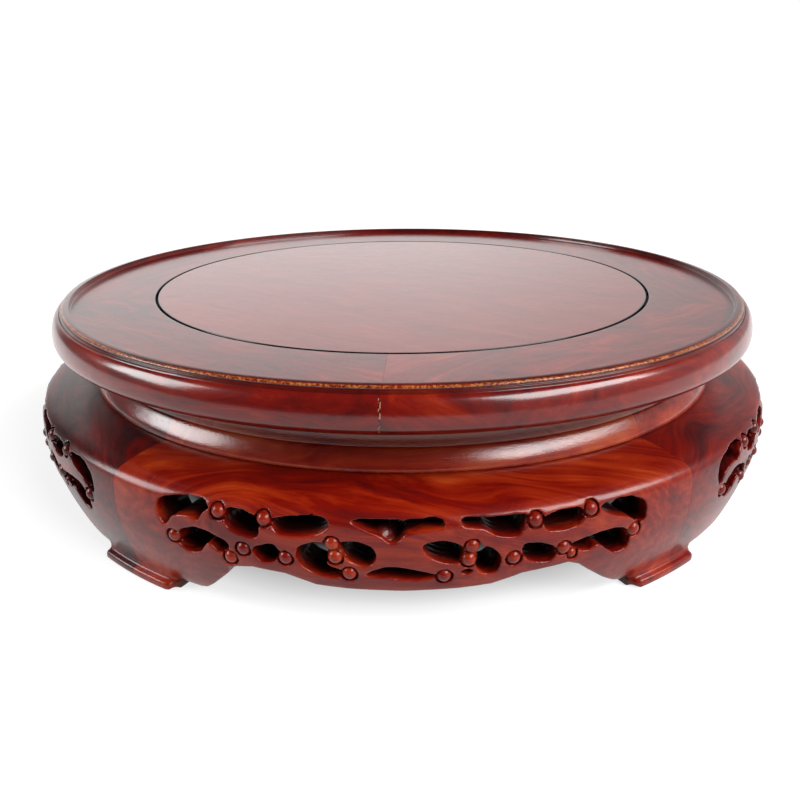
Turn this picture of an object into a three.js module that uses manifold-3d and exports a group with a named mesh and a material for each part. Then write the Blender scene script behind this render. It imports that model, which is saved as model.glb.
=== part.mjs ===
// A low round display stand of turned and carved hardwood, in millimetres, +Z up.
// The origin is on the ground under the stand's centre, and the front panel faces -Y.
import * as THREE from 'three';
import { mergeVertices } from 'three/addons/utils/BufferGeometryUtils.js';
import Module from 'manifold-3d';

// Ring joints
const segmentCount = 5;
const glueSeam = 0.3;
const rimJointTurn = -2.5;

// Top panel and the rim round it
const panelRadius = 90.3;
const panelThickness = 5.9;
const panelGroove = 0.9;
const ledgeWidth = 7.2;
const borderWidth = 27.55;
const edgeWidth = 6.25;
const rimThickness = 10.4;
const rimUndercut = 4.5;
const lipHeight = 1.8;
const lipTopWidth = 2.6;
const lipStep = 0.9;
const quirkWidth = 0.9;

// Waist moulding between the rim and the base
const rimOverhang = 11;
const waistHeight = 13.8;
const waistWidth = 12.3;
const neckDepth = 3.4;
const neckHollow = 0.8;
const beadHeight = 6;
const beadSlope = 2.9;
const beadFullness = 0.75;

// Base: shoulder, belly wall and feet
const shoulderWidth = 18.25;
const baseHeight = 36.2;
const shoulderRun = 8.25;
const shoulderDrop = 0.9;
const widestHeight = 24.5;
const wallThickness = 11.75;
const topBoardThickness = 5;
const topBoardWidth = 30.75;
const ceilingSlope = 5;
const footTuck = 4.35;
const toeFlare = 3;
const toeHeight = 2.8;
const toeRound = 0.7;
const valleyRise = 0.6;

// Lower edge of the apron, from the middle of a panel out to the foot
const apronHeight = 12.4;
const apronRise = 0.6;
const apronDropWidth = 22;
const browHeight = 16.1;
const browStart = 30;
const browRound = 4.2;
const footHalfWidth = 16.7;
const lobeHeight = 2.9;
const lobeWidth = 8.4;
const lobeSlope = 10.9;
const lobeTopHeight = 12.6;
const lobeRound = 2.8;
const stepWidth = 1.4;
// How much narrower each block's left foot is, as the feet were cut by hand
const footTrims = [0, 4.5, 0, 0, 0];

// Openwork window of each panel
const legHalfWidth = 16.7;
const windowFoot = 15.9;
const windowHead = 33;
// Carved by hand, the windows of the panels sit a little off their middles
const windowShifts = [0, -3, 0, 0, 7];

// Hidden fasteners
const dowelRadius = 2.5;
const dowelPlay = 0.3;
const waistDowelReach = 3.4;
const waistDowelInset = 4.4;
const waistDowelTurn = 18;
const legDowelMargin = 7.7;
const legDowelInset = 4.6;
const legDowelHeights = { lower: 9, upper: 20 };
const tongueLength = 24;
const tongueWidth = 16;
const tongueThickness = 3;
const tongueInset = 21;

// Facets
const baseFacets = 8;
const rimFacets = 8;
const waistFacets = 8;
const panelFacets = 45;
const curveFacets = 3;
const openingFacets = 1.2;
const dowelFacets = 6;

// Openings of the carved plum branch, seen from outside. Each is a closed smooth outline:
// across runs from -100 to 100 over the window's width, up from 0 to 100 over its height.
const fullScale = 100;
const openwork = {
  leftFork: [[-99, 85], [-93, 95], [-78, 100], [-75, 91], [-78, 80], [-80, 68], [-84, 71], [-92, 64],
    [-97, 45], [-100, 65]],
  leftTop: [[-68, 93], [-56, 92], [-54, 80], [-55, 58], [-66, 65], [-68, 77]],
  leftInnerTop: [[-49, 88], [-44, 95], [-29, 98], [-27, 88], [-31, 75], [-39, 68], [-47, 71]],
  middleTop: [[-19, 96], [0, 98], [14, 98], [15, 89], [6, 84], [1, 79], [-2, 67], [-5, 65], [-8, 75],
    [-14, 85]],
  rightInnerTop: [[21, 96], [33, 97], [46, 94], [45, 81], [43, 68], [35, 69], [29, 82], [22, 87]],
  rightTop: [[53, 90], [68, 92], [69, 80], [66, 68], [54, 68], [52, 80]],
  rightFork: [[76, 88], [83, 94], [92, 91], [98, 75], [98, 49], [95, 46], [90, 60], [82, 71]],
  leftTwig: [[-91, 36], [-83, 54], [-76, 53], [-67, 38], [-68, 25], [-72, 21], [-76, 32], [-81, 12],
    [-87, 7], [-91, 18]],
  leftPod: [[-57, 36], [-54, 46], [-48, 50], [-46, 37], [-49, 20], [-54, 18]],
  leftLeaf: [[-39, 50], [-30, 62], [-28, 53], [-28, 26], [-23, 16], [-23, 5], [-34, 9], [-39, 27]],
  leftBerry: [[-23, 62], [-18, 67], [-11, 56], [-10, 39], [-13, 26], [-20, 35]],
  middleSlit: [[-14, 10], [-7, 25], [0, 24], [7, 17], [12, 8], [5, 2], [-6, 6]],
  rightBerry: [[7, 61], [14, 68], [21, 58], [22, 40], [20, 29], [10, 40]],
  rightLeaf: [[28, 55], [33, 49], [36, 32], [35, 12], [31, 6], [27, 18], [27, 36]],
  rightPod: [[44, 43], [45, 51], [56, 42], [58, 27], [56, 15], [47, 22]],
  rightTwig: [[64, 37], [75, 47], [87, 45], [91, 30], [91, 5], [85, 2], [76, 26], [72, 20], [66, 27]],
};

// Radii, from the panel outwards
const seatRadius = panelRadius + panelGroove;
const ledgeRadius = seatRadius - ledgeWidth;
const lipInnerRadius = seatRadius + borderWidth;
const rimRadius = lipInnerRadius + edgeWidth;
const waistRadius = rimRadius - rimOverhang;
const waistInnerRadius = waistRadius - waistWidth;
const bellyRadius = waistRadius + shoulderWidth;
const innerWallRadius = bellyRadius - wallThickness;
const topBoardRadius = bellyRadius - topBoardWidth;
const valleyRadius = bellyRadius - footTuck;
const toeRadius = valleyRadius + toeFlare;

// Heights, from the ground up
const ceilingHeight = baseHeight - topBoardThickness;
const valleyHeight = toeHeight + valleyRise;
const waistBottom = baseHeight + glueSeam;
const waistTop = waistBottom + waistHeight;
const rimBottom = waistTop + glueSeam;
const rimTop = rimBottom + rimThickness;
const lipTop = rimTop + lipHeight;
const panelBottom = rimTop - panelThickness;

// Spans along the belly, from the middle of a panel
const segmentAngle = (2 * Math.PI) / segmentCount;
const halfPanel = (bellyRadius * segmentAngle) / 2;
const windowHalfWidth = halfPanel - legHalfWidth;
const footStart = halfPanel - footHalfWidth;
const lobeStart = footStart - lobeWidth;
const lobeTop = lobeStart - lobeSlope;

// How far a quarter ellipse's handles reach, as a share of its radii, and a slack curve's
const quarterEllipse = 0.5523;
const slackCurve = 1 / 3;

// Joints of the base and waist lie at the legs, and those of the rim near the panels' middles
const panelAngles = Array.from({ length: segmentCount }, (_, i) => i * segmentAngle);
const legAngles = panelAngles.map((angle) => angle + segmentAngle / 2);
const rimJointAngles = panelAngles.map((angle) => angle + THREE.MathUtils.degToRad(rimJointTurn));

const wasm = await Module();
wasm.setup();

function solidOf(geometry) {
  const bare = geometry.clone();
  bare.deleteAttribute('normal');
  bare.deleteAttribute('uv');
  const merged = mergeVertices(bare);
  return new wasm.Manifold(new wasm.Mesh({
    numProp: 3,
    vertProperties: new Float32Array(merged.attributes.position.array),
    triVerts: new Uint32Array(merged.index.array),
  }));
}

function geometryOf(solid) {
  const mesh = solid.getMesh();
  const geometry = new THREE.BufferGeometry();
  geometry.setAttribute('position', new THREE.BufferAttribute(mesh.vertProperties, 3));
  geometry.setIndex(new THREE.BufferAttribute(mesh.triVerts, 1));
  geometry.computeVertexNormals();
  return geometry;
}

// Azimuth 0 is the front of the stand, and grows towards +X
function aroundAxis(radius, azimuth, height) {
  return new THREE.Vector3(radius * Math.sin(azimuth), -radius * Math.cos(azimuth), height);
}

function moveVertices(geometry, place) {
  const position = geometry.attributes.position;
  for (let i = 0; i < position.count; i += 1) {
    const point = place(position.getX(i), position.getY(i), position.getZ(i));
    position.setXYZ(i, point.x, point.y, point.z);
  }
  return geometry;
}

// A ring segment: the (radius, height) section swept from one joint face to the other
function sweepSection(section, firstAngle, lastAngle, facets) {
  const bar = new THREE.ExtrudeGeometry(section, {
    depth: 1, steps: facets, bevelEnabled: false, curveSegments: curveFacets,
  });
  const sweep = lastAngle - firstAngle;
  return moveVertices(bar, (radius, height, along) => (
    aroundAxis(radius, lastAngle - sweep * along, height)
  ));
}

// Half a glue seam is left at each end of a segment, measured at the given radius
function ringSegment(section, radius, centre, facets) {
  const seamAngle = glueSeam / 2 / radius;
  const half = segmentAngle / 2 - seamAngle;
  return sweepSection(section, centre - half, centre + half, facets);
}

// A cutter that goes radially through the belly wall. Its outline is drawn on the belly.
function radialCutter(outline, innerRadius, outerRadius, centre) {
  const shape = new THREE.Shape(outline);
  const block = new THREE.ExtrudeGeometry(shape, {
    depth: outerRadius - innerRadius, steps: 1, bevelEnabled: false,
  });
  return moveVertices(block, (across, up, depth) => (
    aroundAxis(innerRadius + depth, centre + across / bellyRadius, up)
  ));
}

function rimSection() {
  const section = new THREE.Shape();
  const lipEdge = lipInnerRadius + lipTopWidth;
  const quirkEdge = lipEdge + quirkWidth;
  const ovoloRadius = (rimThickness - rimUndercut) / 2;
  section.moveTo(ledgeRadius, rimBottom);
  section.lineTo(rimRadius - rimUndercut, rimBottom);
  section.bezierCurveTo(
    rimRadius - rimUndercut * (1 - quarterEllipse), rimBottom,
    rimRadius, rimBottom + ovoloRadius * quarterEllipse,
    rimRadius, rimBottom + ovoloRadius + quirkWidth,
  );
  section.bezierCurveTo(
    rimRadius, rimTop - ovoloRadius,
    quirkEdge + quirkWidth, rimTop - lipStep * quarterEllipse,
    quirkEdge, rimTop,
  );
  section.lineTo(lipEdge, rimTop);
  section.lineTo(lipEdge, lipTop - lipStep);
  section.lineTo(lipEdge - lipStep / 2, lipTop);
  section.lineTo(lipInnerRadius, lipTop);
  section.lineTo(lipInnerRadius, rimTop);
  section.lineTo(seatRadius, rimTop);
  section.lineTo(seatRadius, panelBottom - glueSeam);
  section.lineTo(ledgeRadius, panelBottom - glueSeam);
  section.closePath();
  return section;
}

function waistSection() {
  const neckRadius = waistRadius - neckDepth;
  const section = new THREE.Shape();
  const beadTop = waistBottom + beadHeight;
  section.moveTo(waistInnerRadius, waistBottom);
  section.lineTo(waistRadius, waistBottom);
  section.quadraticCurveTo(
    waistRadius, waistBottom + beadHeight * beadFullness,
    waistRadius - beadSlope, beadTop,
  );
  section.lineTo(neckRadius, beadTop);
  section.quadraticCurveTo(neckRadius - neckHollow, (beadTop + waistTop) / 2, neckRadius, waistTop);
  section.lineTo(waistInnerRadius, waistTop);
  section.closePath();
  return section;
}

function baseSection() {
  const section = new THREE.Shape();
  const shoulderHeight = baseHeight - shoulderDrop;
  const shoulderRadius = bellyRadius - shoulderRun;
  const swell = bellyRadius - valleyRadius;
  const rise = widestHeight - valleyHeight;
  section.moveTo(innerWallRadius, 0);
  section.lineTo(toeRadius - toeRound, 0);
  section.quadraticCurveTo(toeRadius, 0, toeRadius, toeRound);
  section.quadraticCurveTo(toeRadius, toeHeight, valleyRadius, valleyHeight);
  section.bezierCurveTo(
    valleyRadius + swell * quarterEllipse, valleyHeight + rise * slackCurve,
    bellyRadius, widestHeight - rise * slackCurve,
    bellyRadius, widestHeight,
  );
  section.bezierCurveTo(
    bellyRadius, widestHeight + (shoulderHeight - widestHeight) * quarterEllipse,
    shoulderRadius + shoulderRun * quarterEllipse, shoulderHeight,
    shoulderRadius, shoulderHeight,
  );
  section.quadraticCurveTo(
    (shoulderRadius + waistRadius) / 2, baseHeight,
    waistRadius, baseHeight,
  );
  section.lineTo(topBoardRadius, baseHeight);
  section.lineTo(topBoardRadius, ceilingHeight);
  section.lineTo(innerWallRadius - ceilingSlope, ceilingHeight);
  section.lineTo(innerWallRadius, ceilingHeight - ceilingSlope);
  section.closePath();
  return section;
}

// The arch between two feet, mirrored about the middle of the panel but for the left foot's trim
function archOutline(trim) {
  const right = [
    [apronDropWidth, apronHeight + apronRise],
    [browStart, browHeight],
    [lobeTop - browRound, browHeight],
    [lobeTop - stepWidth, (browHeight + lobeTopHeight) / 2],
    [lobeTop, lobeTopHeight],
    [lobeStart, lobeHeight + toeRound],
    [lobeStart + lobeRound, lobeHeight],
    [footStart, lobeHeight],
    [footStart, -toeHeight],
  ];
  const left = right.map(([across, up]) => [-across - (across < lobeStart ? 0 : trim), up]).reverse();
  return [...left, [0, apronHeight], ...right].map(([across, up]) => new THREE.Vector2(across, up));
}

// A smooth closed outline through the given points of a panel's window
function openingOutline(points, shift) {
  const corners = points.map(([across, up]) => new THREE.Vector3(
    shift + (across / fullScale) * windowHalfWidth,
    windowFoot + (up / fullScale) * (windowHead - windowFoot),
    0,
  ));
  const curve = new THREE.CatmullRomCurve3(corners, true, 'centripetal');
  const samples = Math.ceil(points.length * openingFacets);
  return Array.from({ length: samples }, (_, i) => {
    const point = curve.getPoint(i / samples);
    return new THREE.Vector2(point.x, point.y);
  });
}

function roundPeg(radius, length) {
  return new THREE.CylinderGeometry(radius, radius, length, dowelFacets);
}

// Upright dowels tie the waist to the base below and to the rim above
const waistDowelRadius = waistInnerRadius + waistDowelInset;
const waistDowelLength = waistHeight + 2 * (glueSeam + waistDowelReach);
const waistDowelCentre = (waistBottom + waistTop) / 2;
const waistDowelAngles = panelAngles.map((angle) => [
  angle - THREE.MathUtils.degToRad(waistDowelTurn),
  angle + THREE.MathUtils.degToRad(waistDowelTurn),
]);

function waistDowel(angle, play) {
  const peg = roundPeg(dowelRadius + play, waistDowelLength + 2 * play);
  const centre = aroundAxis(waistDowelRadius, angle, waistDowelCentre);
  peg.rotateX(Math.PI / 2);
  peg.rotateZ(angle);
  return peg.translate(centre.x, centre.y, centre.z);
}

// Level dowels cross each leg joint, short of the windows beside it
const legDowelRadius = innerWallRadius + legDowelInset;
const legDowelLength = 2 * (legHalfWidth - legDowelMargin);

function legDowel(angle, height, play) {
  const peg = roundPeg(dowelRadius + play, legDowelLength + 2 * play);
  const centre = aroundAxis(legDowelRadius, angle, height);
  peg.rotateZ(Math.PI / 2 + angle);
  return peg.translate(centre.x, centre.y, centre.z);
}

// Loose tongues cross the rim's joints
const tongueRadius = rimRadius - tongueInset;
const tongueHeight = rimBottom + (rimThickness - panelThickness) / 2 + tongueThickness / 2;

function rimTongue(angle, play) {
  const tongue = new THREE.BoxGeometry(
    tongueLength + 2 * play, tongueWidth + 2 * play, tongueThickness + 2 * play,
  );
  const centre = aroundAxis(tongueRadius, angle, tongueHeight);
  tongue.rotateZ(angle);
  return tongue.translate(centre.x, centre.y, centre.z);
}

function cutAll(geometry, cutters) {
  return cutters.reduce((solid, cutter) => solid.subtract(solidOf(cutter)), solidOf(geometry));
}

function rimSegment(index) {
  const first = rimJointAngles[index];
  const centre = first + segmentAngle / 2;
  const block = ringSegment(rimSection(), rimRadius, centre, rimFacets);
  const joints = [first, first + segmentAngle].map((angle) => rimTongue(angle, dowelPlay));
  const sockets = waistDowelAngles.flat().map((angle) => waistDowel(angle, dowelPlay));
  return cutAll(block, [...joints, ...sockets]);
}

function waistSegment(index) {
  const block = ringSegment(waistSection(), waistRadius, panelAngles[index], waistFacets);
  const sockets = waistDowelAngles[index].map((angle) => waistDowel(angle, dowelPlay));
  return cutAll(block, sockets);
}

function baseBlock(index) {
  const centre = panelAngles[index];
  const shift = windowShifts[index % windowShifts.length];
  const block = ringSegment(baseSection(), bellyRadius, centre, baseFacets);
  const cutFrom = innerWallRadius - ceilingSlope - glueSeam;
  const cutTo = bellyRadius + toeFlare;
  const openings = Object.values(openwork)
    .map((points) => openingOutline(points, shift))
    .map((outline) => radialCutter(outline, cutFrom, cutTo, centre));
  const archReach = bellyRadius / Math.cos(footStart / bellyRadius) + toeFlare;
  const trim = footTrims[index % footTrims.length];
  const arch = radialCutter(archOutline(trim), cutFrom, archReach, centre);
  const sockets = waistDowelAngles[index].map((angle) => waistDowel(angle, dowelPlay));
  const joints = [centre - segmentAngle / 2, centre + segmentAngle / 2].flatMap((angle) => (
    Object.values(legDowelHeights).map((height) => legDowel(angle, height, dowelPlay))
  ));
  return cutAll(block, [arch, ...openings, ...sockets, ...joints]);
}

function centrePanel() {
  const profile = [[0, panelBottom], [panelRadius, panelBottom], [panelRadius, rimTop], [0, rimTop]];
  const disc = new THREE.LatheGeometry(profile.map(([r, z]) => new THREE.Vector2(r, z)), panelFacets);
  return solidOf(disc.rotateX(Math.PI / 2));
}

const colours = {
  panel: 0x8c3a2c,
  rim: 0x8a2114,
  waist: 0x7a2219,
  base: 0x8f2c1c,
  fastener: 0xb98a5a,
};

function woodMesh(name, solid, colour, roughness) {
  const material = new THREE.MeshStandardMaterial({ color: colour, roughness, metalness: 0 });
  const mesh = new THREE.Mesh(geometryOf(solid), material);
  mesh.name = name;
  return mesh;
}

const polished = 0.25;
const sanded = 0.7;
const stand = new THREE.Group();
stand.add(woodMesh('centre_panel', centrePanel(), colours.panel, polished));
for (let i = 0; i < segmentCount; i += 1) {
  stand.add(woodMesh(`rim_segment_${i + 1}`, rimSegment(i), colours.rim, polished));
  stand.add(woodMesh(`waist_segment_${i + 1}`, waistSegment(i), colours.waist, polished));
  stand.add(woodMesh(`base_block_${i + 1}`, baseBlock(i), colours.base, polished));
}
rimJointAngles.forEach((angle, i) => {
  const tongue = solidOf(rimTongue(angle, 0));
  stand.add(woodMesh(`rim_tongue_${i + 1}`, tongue, colours.fastener, sanded));
});
waistDowelAngles.flat().forEach((angle, i) => {
  const dowel = solidOf(waistDowel(angle, 0));
  stand.add(woodMesh(`waist_dowel_${i + 1}`, dowel, colours.fastener, sanded));
});
legAngles.forEach((angle, i) => {
  Object.entries(legDowelHeights).forEach(([level, height]) => {
    const dowel = solidOf(legDowel(angle, height, 0));
    stand.add(woodMesh(`leg_dowel_${i + 1}_${level}`, dowel, colours.fastener, sanded));
  });
});

export default stand;
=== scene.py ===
import math

import bmesh
import bpy
import numpy as np
import openvdb
from mathutils import Matrix, Vector


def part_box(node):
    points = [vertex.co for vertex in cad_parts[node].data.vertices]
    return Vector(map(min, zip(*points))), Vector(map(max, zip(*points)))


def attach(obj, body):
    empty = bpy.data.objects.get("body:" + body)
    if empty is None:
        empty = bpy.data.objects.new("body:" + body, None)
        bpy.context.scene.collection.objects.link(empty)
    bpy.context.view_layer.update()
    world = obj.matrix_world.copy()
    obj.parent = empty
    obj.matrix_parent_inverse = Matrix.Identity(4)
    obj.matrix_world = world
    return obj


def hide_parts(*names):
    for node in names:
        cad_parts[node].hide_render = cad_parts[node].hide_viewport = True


# A low round display stand of turned and carved hardwood. Sizes are in millimetres in the CAD's
# frame until a mesh is made. Angles round the axis are 0 at the front and grow towards +X.
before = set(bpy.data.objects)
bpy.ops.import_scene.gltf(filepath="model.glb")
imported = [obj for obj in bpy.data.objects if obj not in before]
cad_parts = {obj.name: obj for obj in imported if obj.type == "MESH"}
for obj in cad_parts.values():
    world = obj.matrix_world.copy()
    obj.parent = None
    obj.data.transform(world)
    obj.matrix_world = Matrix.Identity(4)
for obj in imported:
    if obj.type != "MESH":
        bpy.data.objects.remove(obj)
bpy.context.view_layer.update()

MM = 0.001
SEGMENTS = 5
SEGMENT_ANGLE = 2 * math.pi / SEGMENTS
RIM_NODES = [f"rim_segment_{i + 1}" for i in range(SEGMENTS)]
WAIST_NODES = [f"waist_segment_{i + 1}" for i in range(SEGMENTS)]
BASE_NODES = [f"base_block_{i + 1}" for i in range(SEGMENTS)]


# Sizes read from the frame
def span(node, axis):
    low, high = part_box(node)
    return low[axis] / MM, high[axis] / MM


def corners(nodes):
    return np.array([v.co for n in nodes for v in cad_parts[n].data.vertices]) / MM


def radii_at(nodes, height, slack=0.02):
    points = corners(nodes)
    level = points[np.abs(points[:, 2] - height) < slack]
    return np.hypot(level[:, 0], level[:, 1])


def widest(nodes):
    points = corners(nodes)
    return np.hypot(points[:, 0], points[:, 1]).max()


PANEL_BOTTOM, PANEL_TOP = span("centre_panel", 2)
PANEL_RADIUS = widest(["centre_panel"])
RIM_BOTTOM, LIP_TOP = span("rim_segment_1", 2)
WAIST_BOTTOM, WAIST_TOP = span("waist_segment_1", 2)
BASE_TOP = span("base_block_1", 2)[1]
RIM_RADIUS = widest(RIM_NODES)
WAIST_RADIUS = widest(WAIST_NODES)
BELLY_RADIUS = widest(BASE_NODES)
LEDGE_RADIUS = radii_at(RIM_NODES, RIM_BOTTOM).min()
SEAT_RADIUS = radii_at(RIM_NODES, PANEL_TOP).min()
LIP_INNER_RADIUS = radii_at(RIM_NODES, LIP_TOP).min()
WAIST_INNER_RADIUS = radii_at(WAIST_NODES, WAIST_TOP).min()
NECK_RADIUS = radii_at(WAIST_NODES, WAIST_TOP).max()
TOP_BOARD_RADIUS = radii_at(BASE_NODES, BASE_TOP).min()
HALF_PANEL = BELLY_RADIUS * SEGMENT_ANGLE / 2

# Rim. The ovolo starts and is led off at (outwards, up) from the quirk's edge
GROOVE_ROUND = 0.2
SEAT_GAP = 0.05
LIP_ROUND = 0.2
LIP_COVE = 0.4
LIP_WIDTH = 2.45
LIP_CROWN = 0.25
LIP_EDGE = 0.72
ARRIS_WIDTH = 0.5
ARRIS_DROP = 0.28
ARRIS_FADE = 0.3
FILLET_DROP = 0.95
FILLET_WIDTH = 0.6
FILLET_ROUND = 0.25
FILLET_COVE = 0.1
QUIRK_WIDTH = 0.2
QUIRK_DEPTH = 0.1
RIM_UNDERCUT = 4.5
OVOLO_LIFT = 0.9
OVOLO_START = (0.15, 0.1)
OVOLO_LEAD = (1.4, 0.05)

# How dark painted shade makes the wood, from 0 to 1, in the rim's quirk, fillet, lip and groove and in the
# waist's neck under the rim, and how far from an edge it has gone again
QUIRK_SHADE = 0.4
FILLET_SHADE = 0.45
LIP_WALL_SHADE = 0.6
LIP_SHADE = 0.5
LIP_COVE_SHADE = 0.3
NECK_SHADE = 0.25
LIP_COVE_FADE = 1.5
GROOVE_FADE = 0.5
PANEL_FADE = 0.3

# Waist. The bead's front is led by a handle above its foot and by its turn, inwards and up from there
BEAD_HEIGHT = 5.7
BEAD_SLOPE = 3.2
BEAD_FOOT = 1.3
BEAD_TURN = (0.8, 2.5)
BEAD_ROUND = 0.3
BEAD_WEAR = 0.4
BEAD_UNDERCUT = 0.3
NECK_STEP = 0.05
NECK_HOLLOW = 0.8

# Base block. SHOULDER_EDGE is how far the handles of the shoulder's curve reach, as a share of it
SHOULDER_RUN = 8.25
SHOULDER_DROP = 0.9
SHOULDER_EDGE = 0.86
WIDEST_HEIGHT = 24.5
WALL_THICKNESS = 11.75
TOP_BOARD_THICKNESS = 5.0
CEILING_SLOPE = 5.0
FOOT_TUCK = 4.35
TOE_FLARE = 2.6
TOE_HEIGHT = 2.7
TOE_ROUND = 0.9
TOE_LEDGE = 1.2
TOE_NOSE = 0.15
TOE_COVE = 0.35
TOE_FADE = 3.0
VALLEY_RISE = 0.6
VALLEY_SOFTNESS = 3.0
INNER_CORNERS = 4

# Share of a radius at which a curve's handles make a quarter of an ellipse
QUARTER_ELLIPSE = 0.5523

# Lower edge of the apron as (across, up), for the left and the right half of a panel
APRON_MIDDLE = (0.0, 12.4)
APRON_LEFT = [(14, 12.7), (22, 13.3), (26.5, 14.9), (30, 16.0), (38.6, 16.5), (43.2, 15.6), (45.7, 14.6),
              (46.6, 12.4), (49.5, 9.6), (53, 6.3), (56, 3.9), (58.6, 2.9), (61.4, 2.8), (66.4, 2.9),
              (66.4, -3)]
APRON_RIGHT = [(14, 12.7), (22, 13.3), (26.5, 14.6), (30, 15.7), (38.6, 16.3), (42.5, 16.6), (45.8, 15.2),
               (48.9, 12.6), (55.5, 7.4), (60.5, 4.2), (63.2, 3.0), (66.4, 2.9), (66.4, -3)]

# How much narrower each block's left foot is, from the start of its lobe out, and where the foot ends
FOOT_TRIMS = [0, 4.5, 0, 0, 0]
LOBE_START = 56.0
FOOT_START = 66.4

# Window of the carved panel. Carved by hand, the windows sit a little off their panels' middles
LEG_HALF_WIDTH = 16.7
WINDOW_FOOT = 15.9
WINDOW_HEAD = 33.0
WINDOW_HALF_WIDTH = HALF_PANEL - LEG_HALF_WIDTH
WINDOW_SHIFTS = [0, -3, 0, 0, 7]

# Openings of the plum branch: across runs from -100 to 100 over the window, up from 0 to 100
WINDOW_SCALE = 100
OPENWORK = {
    "left_fork": [(-99, 85), (-93, 95), (-78, 100), (-75, 91), (-78, 80), (-80, 68), (-84, 71), (-92, 64),
                  (-97, 45), (-100, 65)],
    "left_top": [(-68, 93), (-56, 92), (-54, 80), (-55, 58), (-66, 65), (-68, 77)],
    "left_inner_top": [(-49, 88), (-44, 95), (-29, 98), (-27, 88), (-31, 75), (-39, 68), (-47, 71)],
    "middle_top": [(-19, 96), (0, 98), (14, 98), (15, 89), (6, 84), (1, 79), (-2, 67), (-5, 65), (-8, 75),
                   (-14, 85)],
    "right_inner_top": [(21, 96), (33, 97), (46, 94), (45, 81), (43, 68), (35, 69), (29, 82), (22, 87)],
    "right_top": [(53, 90), (68, 92), (69, 80), (66, 68), (54, 68), (52, 80)],
    "right_fork": [(76, 88), (83, 94), (92, 91), (98, 75), (98, 49), (95, 46), (90, 60), (82, 71)],
    "left_twig": [(-91, 36), (-83, 54), (-76, 53), (-67, 38), (-68, 25), (-72, 21), (-76, 32), (-81, 12),
                  (-87, 7), (-91, 18)],
    "left_pod": [(-57, 36), (-54, 46), (-48, 50), (-46, 37), (-49, 20), (-54, 18)],
    "left_leaf": [(-39, 50), (-30, 62), (-28, 53), (-28, 26), (-23, 16), (-23, 5), (-34, 9), (-39, 27)],
    "left_berry": [(-23, 62), (-18, 67), (-11, 56), (-10, 39), (-13, 26), (-20, 35)],
    "middle_slit": [(-14, 10), (-7, 25), (0, 24), (7, 17), (12, 8), (5, 2), (-6, 6)],
    "right_berry": [(7, 61), (14, 68), (21, 58), (22, 40), (20, 29), (10, 40)],
    "right_leaf": [(28, 55), (33, 49), (36, 32), (35, 12), (31, 6), (27, 18), (27, 36)],
    "right_pod": [(44, 43), (45, 51), (56, 42), (58, 27), (56, 15), (47, 22)],
    "right_twig": [(64, 37), (75, 47), (87, 45), (91, 30), (91, 5), (85, 2), (76, 26), (72, 20), (66, 27)],
    "right_dot": [(21, 14), (24, 19), (26, 14), (23, 9)],
}

# Buds as (across, up) in the same scale, and their sizes
BUDS = [(-93, 29), (-71, 87), (-52, 87), (-67, 15), (-61, 35), (-44, 30), (-26, 61), (-25, 39), (-20, 12),
        (15, 8), (25, 56), (24, 34), (41, 30), (49, 85), (72, 87), (61, 34), (93, 36)]
SMALL_BUDS = [(65, 20)]
BUD_RADIUS = 1.95
SMALL_BUD_RADIUS = 1.4
BUD_SINK = 1.25
BUD_DEPTH = 7.0
BUD_GROOVE = 0.5
BUD_GROOVE_DEPTH = 1.4
BUD_MARGIN = 2.0

# Stippled knot in the middle of the branch. Each ripple has its radians per millimetre across, up
# and outwards
KNOT_PLACE = (-8, 64)
KNOT_RADIUS = 3.3
KNOT_SINK = 4.5
KNOT_DEPTH = 6.0
KNOT_STIPPLE = 0.16
KNOT_RIPPLES = [(4.1, 1.3, 0.0), (0.0, 3.7, -1.1), (1.0, 0.0, 3.9)]

# Softness of carved edges
OPENING_ROUND = 0.35
ARCH_ROUND = 0.5

# Gouge marks in the walls of the openings, in millimetres, radians and radians per millimetre
GOUGE_DEPTH = 0.10
GOUGE_LENGTH = 2.2
GOUGE_SWAY = 2.3
GOUGE_SWAY_UP = 0.9
GOUGE_SLANT = 0.7
GOUGE_CROSS_UP = 1.9
GOUGE_CROSS_SLANT = 0.8

# Depths under the base's outer skin at which painted shade starts to darken the walls of the carved openings
# and is full; their lacquer grows duller over the same depths
HOLLOW_START = 0.4
HOLLOW_END = 3.6

# Mesh fineness
FINE_STEP = 0.33
COARSE_STEP = 1.1
FINE_MARGIN = 2.0
ROUGH_WALL = 4.0
OPENING_REACH = 4.0
OPENING_SAMPLES = 5
BLOCK_FACES = 100000
CUT_TOLERANCE = 1e-5
RING_STEPS = 60
PANEL_STEPS = 256
PANEL_RINGS = (0.98, 0.85, 0.6, 0.3)
CURVE_STEPS = 12
EDGE_STEPS = 5
SMALL_STEPS = 4
SHARP_ANGLE = math.radians(62)

# Joints: half of the gap left, and how far from a joint its glue line shows and has gone
JOINT_GAP = 0.02
JOINT_LINE = 0.15
JOINT_CLEAR = 0.6
RIM_JOINT_DROP = 0.2


# Curves and outlines
def curve(*points, steps=CURVE_STEPS):
    """Points along a curve from the first point to the last, led by those between. The first is left
    out, as it ends what comes before."""
    t = np.linspace(0, 1, steps + 1)[1:, None]
    level = [np.array(p, float) + 0 * t for p in points]
    while len(level) > 1:
        level = [a * (1 - t) + b * t for a, b in zip(level, level[1:])]
    return level[0]


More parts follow.
